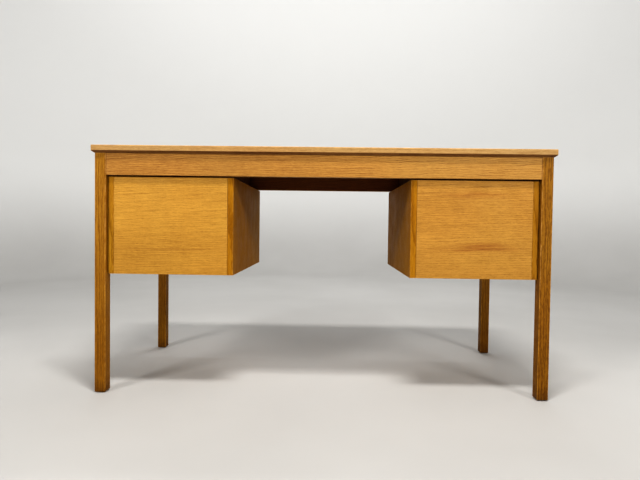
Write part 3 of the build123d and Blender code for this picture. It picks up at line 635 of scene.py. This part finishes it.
# Puts one shape on each point of the given mesh, turned to face the way that the point says
def placeEach(tree, given, result, shape):
    facing = addNode(tree, "GeometryNodeInputNamedAttribute", {"Name": "facing"}, data_type="FLOAT_VECTOR")
    upright = addNode(tree, "FunctionNodeAlignRotationToVector", {"Vector": facing.outputs[0]}, axis="Z")
    chance = addNode(tree, "FunctionNodeRandomValue", data_type="FLOAT")
    chance.inputs[2].default_value = 0.0
    chance.inputs[3].default_value = math.pi
    tree.links.new(given.outputs["Seed"], chance.inputs["Seed"])
    spin = addNode(tree, "FunctionNodeAxisAngleToRotation", {
        "Axis": (0.0, 0.0, 1.0), "Angle": chance.outputs[1]})
    turned = addNode(tree, "FunctionNodeRotateRotation", {0: upright.outputs[0], 1: spin.outputs[0]},
                     rotation_space="LOCAL")
    smooth = addNode(tree, "GeometryNodeGroup", {0: shape, 1: sharpAngles["hardware"]}, node_tree=softArrises)
    placed = addNode(tree, "GeometryNodeInstanceOnPoints", {
        "Points": given.outputs["Geometry"], "Instance": smooth.outputs[0], "Rotation": turned.outputs[0]})
    real = addNode(tree, "GeometryNodeRealizeInstances", {"Geometry": placed.outputs[0]})
    painted = addNode(tree, "GeometryNodeSetMaterial", {
        "Geometry": real.outputs[0], "Material": given.outputs["Material"]})
    tree.links.new(painted.outputs[0], result.inputs[0])


# How blunt a screw's tip is, and the slot's cutter, as multiples of the head's radius and the slot's depth
screwDetails = dict(tipTaper=0.4, cutterLength=2.2, cutterHeight=2.0)


def makeScrewTree():
    sizes = ("Length", "Shank Radius", "Head Radius", "Pitch", "Thread Depth", "Thread Share",
             "Slot Width", "Slot Depth")
    inputs = [("Geometry", "NodeSocketGeometry", None)]
    inputs += [(size, "NodeSocketFloat", 0.001) for size in sizes]
    inputs += [("Sides", "NodeSocketInt", 16), ("Rows", "NodeSocketInt", 90), ("Seed", "NodeSocketInt", 1),
               ("Material", "NodeSocketMaterial", None)]
    tree, given, result = newGroup("screwTree", inputs, geometryOut, "GeometryNodeTree")
    size = given.outputs
    rows = size["Rows"]
    grid, turn, row = rolledGrid(tree, size["Sides"], rows)
    lastStep = calc(tree, "SUBTRACT", rows, 1.0)
    rise = calc(tree, "DIVIDE", lastStep, calc(tree, "SUBTRACT", rows, 2.0))
    rise = calc(tree, "MINIMUM", calc(tree, "MULTIPLY", row, rise), 1.0)
    fromTip = calc(tree, "MULTIPLY", size["Length"], rise)
    height = calc(tree, "SUBTRACT", fromTip, size["Length"])
    phase = calc(tree, "ADD", calc(tree, "DIVIDE", height, size["Pitch"]), turn)
    crest = calc(tree, "MULTIPLY", calc(tree, "PINGPONG", phase, 0.5), 2.0)
    valley = calc(tree, "MULTIPLY", calc(tree, "SUBTRACT", 1.0, crest), size["Thread Depth"])
    threaded = calc(tree, "LESS_THAN", fromTip, calc(tree, "MULTIPLY", size["Length"], size["Thread Share"]))
    shank = calc(tree, "SUBTRACT", size["Shank Radius"], calc(tree, "MULTIPLY", valley, threaded))
    head = calc(tree, "ADD", size["Head Radius"], height)
    tip = calc(tree, "MULTIPLY", fromTip, screwDetails["tipTaper"])
    radius = calc(tree, "MINIMUM", tip, calc(tree, "MAXIMUM", shank, head))
    rowNumber = calc(tree, "MULTIPLY", row, lastStep)  # the last row has no radius, and closes the head
    notLast = calc(tree, "LESS_THAN", rowNumber, calc(tree, "SUBTRACT", lastStep, 0.5))
    shape = rollUp(tree, grid, turn, calc(tree, "MULTIPLY", radius, notLast), height)
    slotSize = addNode(tree, "ShaderNodeCombineXYZ", {
        0: calc(tree, "MULTIPLY", size["Head Radius"], screwDetails["cutterLength"]), 1: size["Slot Width"],
        2: calc(tree, "MULTIPLY", size["Slot Depth"], screwDetails["cutterHeight"])}).outputs[0]
    cutter = addNode(tree, "GeometryNodeMeshCube", {"Size": slotSize}).outputs["Mesh"]
    slotted = addNode(tree, "GeometryNodeMeshBoolean", {"Mesh 1": shape, "Mesh 2": cutter},
                      operation="DIFFERENCE", solver="EXACT").outputs[0]
    placeEach(tree, given, result, slotted)
    return tree


def makeGlideTree():
    inputs = [("Geometry", "NodeSocketGeometry", None), ("Radius", "NodeSocketFloat", 0.009),
              ("Height", "NodeSocketFloat", 0.02), ("Sides", "NodeSocketInt", 48),
              ("Rows", "NodeSocketInt", 40), ("Seed", "NodeSocketInt", 1),
              ("Material", "NodeSocketMaterial", None)]
    tree, given, result = newGroup("glideTree", inputs, geometryOut, "GeometryNodeTree")
    grid, turn, row = rolledGrid(tree, given.outputs["Sides"], given.outputs["Rows"])
    curves = []
    for profile in (glideProfile["radius"], glideProfile["height"]):
        curve = addNode(tree, "ShaderNodeFloatCurve", {"Value": row})
        points = curve.mapping.curves[0].points
        while len(points) < len(profile):
            points.new(0.5, 0.5)
        for step, value in enumerate(profile):
            points[step].location = (step / (len(profile) - 1), value)
            points[step].handle_type = "VECTOR"
        curve.mapping.update()
        curves.append(curve.outputs[0])
    shape = rollUp(tree, grid, turn, calc(tree, "MULTIPLY", curves[0], given.outputs["Radius"]),
                   calc(tree, "MULTIPLY", curves[1], given.outputs["Height"]))
    placeEach(tree, given, result, shape)
    return tree


# A glide from the middle of its sole, out round its rim, over its top and up its nail, as shares of its size
glideProfile = dict(
    radius=(0.0, 0.35, 0.68, 0.86, 0.95, 0.99, 0.98, 0.90, 0.30, 0.17, 0.17, 0.16, 0.0),
    height=(0.0, 0.003, 0.012, 0.030, 0.058, 0.090, 0.118, 0.130, 0.134, 0.16, 0.50, 0.86, 1.0))


# The separate solids of a node, each as a list of points
def looseParts(name):
    mesh = bmesh.new()
    mesh.from_mesh(cadNodes[name].data)
    bmesh.ops.remove_doubles(mesh, verts=mesh.verts, dist=mergeDistance)
    mesh.verts.ensure_lookup_table()
    seen = set()
    parts = []
    for first in mesh.verts:
        if first.index in seen:
            continue
        seen.add(first.index)
        waiting = [first]
        points = []
        while waiting:
            corner = waiting.pop()
            points.append(corner.co.copy())
            for edge in corner.link_edges:
                other = edge.other_vert(corner)
                if other.index not in seen:
                    seen.add(other.index)
                    waiting.append(other)
        parts.append(points)
    mesh.free()
    return parts


# A screw's head is at the wider end of its longest side. Points this near an end belong to it
endDepth = 0.0002


def headOf(points):
    low = Vector([min(point[i] for point in points) for i in range(3)])
    high = Vector([max(point[i] for point in points) for i in range(3)])
    axis = max(range(3), key=lambda i: high[i] - low[i])
    middle = (low + high) / 2

    def widthAt(end):
        near = [point for point in points if abs(point[axis] - end) < endDepth]
        return max((point - middle).length_squared - (point[axis] - middle[axis]) ** 2 for point in near)

    way = 1.0 if widthAt(high[axis]) > widthAt(low[axis]) else -1.0
    facing = Vector((0.0, 0.0, 0.0))
    facing[axis] = way
    middle[axis] = high[axis] if way > 0 else low[axis]
    return middle, facing


def soleOf(points):
    low = Vector([min(point[i] for point in points) for i in range(3)])
    high = Vector([max(point[i] for point in points) for i in range(3)])
    return Vector(((low[0] + high[0]) / 2, (low[1] + high[1]) / 2, low[2])), Vector((0.0, 0.0, 1.0))


def makeHardware(node, tree, placeOf, settings, material):
    places = [placeOf(points) for points in looseParts(node)]
    data = bpy.data.meshes.new(node + "Places")
    data.from_pydata([place for place, facing in places], [], [])
    attribute = data.attributes.new("facing", "FLOAT_VECTOR", "POINT")
    for index, (place, facing) in enumerate(places):
        attribute.data[index].vector = facing
    maker = bpy.data.objects.new(node + "Maker", data)
    bpy.context.scene.collection.objects.link(maker)
    modifier = maker.modifiers.new("make", "NODES")
    modifier.node_group = tree
    labels = {item.name: item.identifier for item in tree.interface.items_tree if item.in_out == "INPUT"}
    for label, value in {**settings, "Material": material}.items():
        modifier[labels[label]] = value
    bpy.context.view_layer.update()
    made = bpy.data.meshes.new_from_object(maker.evaluated_get(bpy.context.evaluated_depsgraph_get()))
    bpy.data.objects.remove(maker)
    piece = bpy.data.objects.new(node + "_detailed", made)
    bpy.context.scene.collection.objects.link(piece)
    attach(piece, "desk")
    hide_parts(node)
    print(node, len(places), "made,", len(made.polygons), "faces")


longScrew = {"Length": 0.042, "Shank Radius": 0.0022, "Head Radius": 0.0044, "Pitch": 0.0018,
             "Thread Depth": 0.0006, "Thread Share": 0.62, "Slot Width": 0.0009, "Slot Depth": 0.0008,
             "Sides": 16, "Rows": 100, "Seed": 3}
topScrew = {**longScrew, "Length": 0.038, "Rows": 92, "Seed": 7}
smallScrew = {**longScrew, "Length": 0.019, "Shank Radius": 0.0015, "Head Radius": 0.003, "Pitch": 0.0012,
              "Thread Depth": 0.00045, "Sides": 14, "Rows": 64, "Seed": 11}
glide = {"Radius": 0.009, "Height": 0.0185, "Sides": 48, "Rows": 49, "Seed": 5}

screwTree = makeScrewTree()
glideTree = makeGlideTree()
zinc = metalMaterial("zincSteel", zincLook)
nickel = metalMaterial("nickelSteel", nickelLook)
makeHardware("pedestal_screws", screwTree, headOf, longScrew, zinc)
makeHardware("top_screws", screwTree, headOf, topScrew, zinc)
makeHardware("runner_screws", screwTree, headOf, smallScrew, zinc)
makeHardware("foot_glides", glideTree, soleOf, glide, nickel)


# The floor runs up into a plain round wall, so that the desk stands in one pale room
roomSize = dict(floorRadius=3.4, coveRadius=1.3, wallHeight=5.0, segments=96, coveSteps=14)
roomColours = dict(
    floor=((0.47, 0.463, 0.450), (0.50, 0.493, 0.480)), patchScale=(1.3, 1.3, 1.3), patchRange=(0.3, 0.7),
    wall=(0.80, 0.80, 0.79), wallFrom=1.2, rough=0.75)


def makeRoom():
    size = roomSize
    outline = [(0.0, 0.0), (size["floorRadius"], 0.0)]
    for step in range(1, size["coveSteps"] + 1):
        angle = math.pi / 2 * step / size["coveSteps"]
        outline.append((size["floorRadius"] + size["coveRadius"] * math.sin(angle),
                        size["coveRadius"] * (1 - math.cos(angle))))
    outline.append((size["floorRadius"] + size["coveRadius"], size["wallHeight"]))
    mesh = bmesh.new()
    rings = []
    for radius, height in outline[1:]:
        ring = []
        for step in range(size["segments"]):
            angle = 2 * math.pi * step / size["segments"]
            ring.append(mesh.verts.new((radius * math.cos(angle), radius * math.sin(angle), height)))
        rings.append(ring)
    mesh.faces.new(rings[0])
    for lower, upper in zip(rings, rings[1:]):
        for step in range(size["segments"]):
            after = (step + 1) % size["segments"]
            mesh.faces.new((lower[after], lower[step], upper[step], upper[after]))
    data = bpy.data.meshes.new("room")
    mesh.to_mesh(data)
    mesh.free()
    for face in data.polygons:
        face.use_smooth = len(face.vertices) == 4
    room = bpy.data.objects.new("room", data)
    bpy.context.scene.collection.objects.link(room)
    material, tree, shader, place = startMaterial("paleFloor")
    shade = spread(tree, cloud(tree, place, roomColours["patchScale"], 3.0), *roomColours["patchRange"])
    colour = blendColour(tree, shade, *roomColours["floor"])
    height = addNode(tree, "ShaderNodeSeparateXYZ", {0: place}).outputs[2]
    upWall = spread(tree, height, 0.0, roomColours["wallFrom"])
    colour = blendColour(tree, upWall, colour, roomColours["wall"])
    tree.links.new(colour, shader.inputs["Base Color"])
    shader.inputs["Roughness"].default_value = roomColours["rough"]
    data.materials.append(material)
    return room


makeRoom()


# Light: one overhead that the top's overhang shades, two low in front, a fill behind and a wash on the wall
lights = [
    dict(name="overhead", at=(0.1, -1.25, 3.1), aim=(0.0, -0.2, 0.5), size=(0.9, 0.35), power=58.0,
         colour=(1.0, 0.985, 0.96)),
    dict(name="frontRight", at=(2.1, -3.0, 2.0), aim=(0.0, 0.0, 0.5), size=(0.8, 0.6), power=41.0,
         colour=(1.0, 0.99, 0.975)),
    dict(name="frontLeft", at=(-2.1, -2.8, 2.5), aim=(0.0, 0.0, 0.5), size=(0.8, 0.6), power=43.0,
         colour=(1.0, 0.99, 0.975)),
    dict(name="fillBehind", at=(0.3, 2.5, 3.3), aim=(0.0, 0.0, 0.4), size=(1.4, 1.0), power=20.0,
         colour=(0.98, 0.99, 1.0)),
    dict(name="wallWash", at=(0.0, 2.2, 4.6), aim=(0.0, 4.7, 0.9), size=(4.0, 0.5), power=50.0,
         colour=(1.0, 1.0, 1.0))]

for spec in lights:
    data = bpy.data.lights.new(spec["name"], "AREA")
    data.shape = "RECTANGLE"
    data.size, data.size_y = spec["size"]
    data.energy = spec["power"]
    data.color = spec["colour"]
    lamp = bpy.data.objects.new(spec["name"], data)
    lamp.location = spec["at"]
    lamp.rotation_euler = (Vector(spec["aim"]) - Vector(spec["at"])).to_track_quat("-Z", "Y").to_euler()
    lamp.visible_camera = False
    bpy.context.scene.collection.objects.link(lamp)

# What little light comes from all round, and how the picture is developed
studio = dict(colour=(0.95, 0.97, 1.0, 1.0), strength=0.12, transform="Standard", look="High Contrast")
world = bpy.data.worlds.new("studio")
world.use_nodes = True
background = world.node_tree.nodes["Background"]
background.inputs["Color"].default_value = studio["colour"]
background.inputs["Strength"].default_value = studio["strength"]
bpy.context.scene.world = world
bpy.context.scene.view_settings.view_transform = studio["transform"]
bpy.context.scene.view_settings.look = studio["look"]

# The eye is low, a little right of the desk's middle, and almost level. Angles in degrees, lens in mm
cameraPlace = dict(
    at=(0.0229, -1.7459, 0.5013), yaw=1.058, pitch=-1.572, roll=0.755, lens=28.125, sensor=36.0, nearest=0.05)
camera = bpy.data.cameras.new("camera")
camera.lens = cameraPlace["lens"]
camera.sensor_width = cameraPlace["sensor"]
camera.clip_start = cameraPlace["nearest"]
cameraObject = bpy.data.objects.new("camera", camera)
turn = Matrix.Rotation(math.radians(cameraPlace["yaw"]), 4, "Z")
turn = turn @ Matrix.Rotation(math.radians(90.0 + cameraPlace["pitch"]), 4, "X")
turn = turn @ Matrix.Rotation(math.radians(cameraPlace["roll"]), 4, "Z")
cameraObject.matrix_world = Matrix.Translation(cameraPlace["at"]) @ turn
bpy.context.scene.collection.objects.link(cameraObject)
bpy.context.scene.camera = cameraObject
print("room, lights and camera set")
